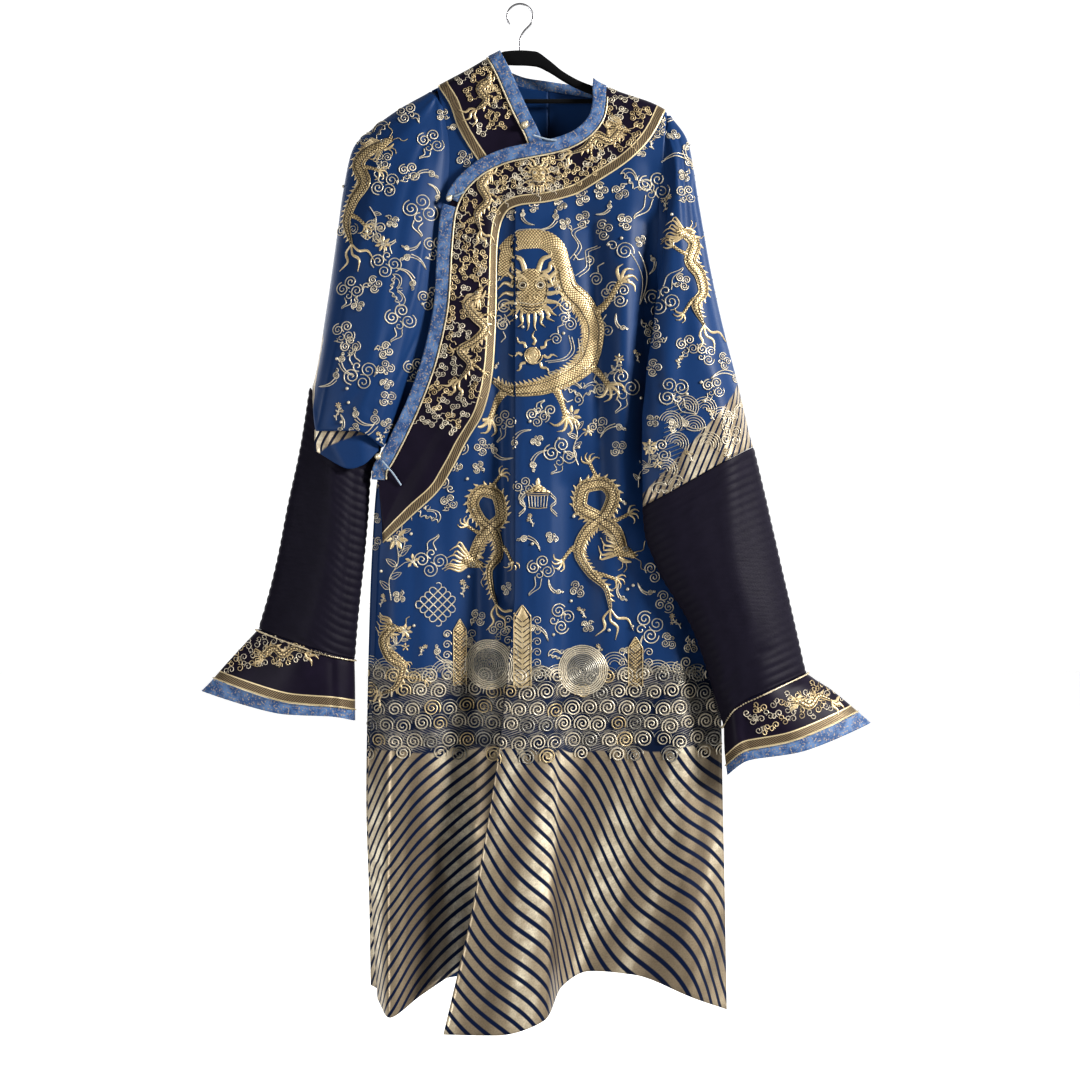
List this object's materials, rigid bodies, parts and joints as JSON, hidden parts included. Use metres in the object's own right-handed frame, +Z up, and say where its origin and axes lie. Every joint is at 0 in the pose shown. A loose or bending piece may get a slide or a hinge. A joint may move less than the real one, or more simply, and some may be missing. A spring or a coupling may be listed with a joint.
{
  "type": "dragon robe on a clothes hanger",
  "caption": "Side-fastening embroidered silk robe with ribbed lower sleeves and flared cuffs, open at neck and hem, hanging from a flat velvet hanger with a wire hook.",
  "frame": {"origin": "inside top of the hanger's hook, where the hook rests on a rail", "axes": "+Z up, -Y towards the front of the robe, +X towards the right of somebody who looks at the front"},
  "size_m": [0.965, 0.2071, 1.4616],
  "materials": {
    "silk": "satin",
    "navy_silk": "satin",
    "ribbed_silk": "satin",
    "brocade": "satin",
    "gold_cord": "satin",
    "button_metal": "polished",
    "loop_cord": "matt",
    "velvet": "matt",
    "wire": "polished"
  },
  "bodies": {
    "root": {"back_left": "silk", "back_right": "silk", "button_chest": "button_metal", "button_neck": "button_metal", "button_underarm": "button_metal", "cuff_edging_left": "brocade", "cuff_edging_right": "brocade", "cuff_left": "navy_silk", "cuff_right": "navy_silk", "edging_back": "brocade", "edging_lower": "brocade", "edging_under": "brocade", "edging_upper": "brocade", "front_left": "silk", "front_overlap": "silk", "front_under": "silk", "hanger_bar": "velvet", "hanger_body": "velvet", "hanger_hook": "wire", "loop_chest": "loop_cord", "loop_neck": "loop_cord", "loop_underarm": "loop_cord", "lower_sleeve_left": "ribbed_silk", "lower_sleeve_right": "ribbed_silk", "piping_cuff_left": "gold_cord", "piping_cuff_right": "gold_cord", "piping_overlap": "gold_cord", "piping_under": "gold_cord", "sleeve_left": "silk", "sleeve_right": "silk", "sleeve_right_return": "silk", "yoke_back": "navy_silk", "yoke_overlap": "navy_silk", "yoke_under": "navy_silk"}
  },
  "joints": []
}
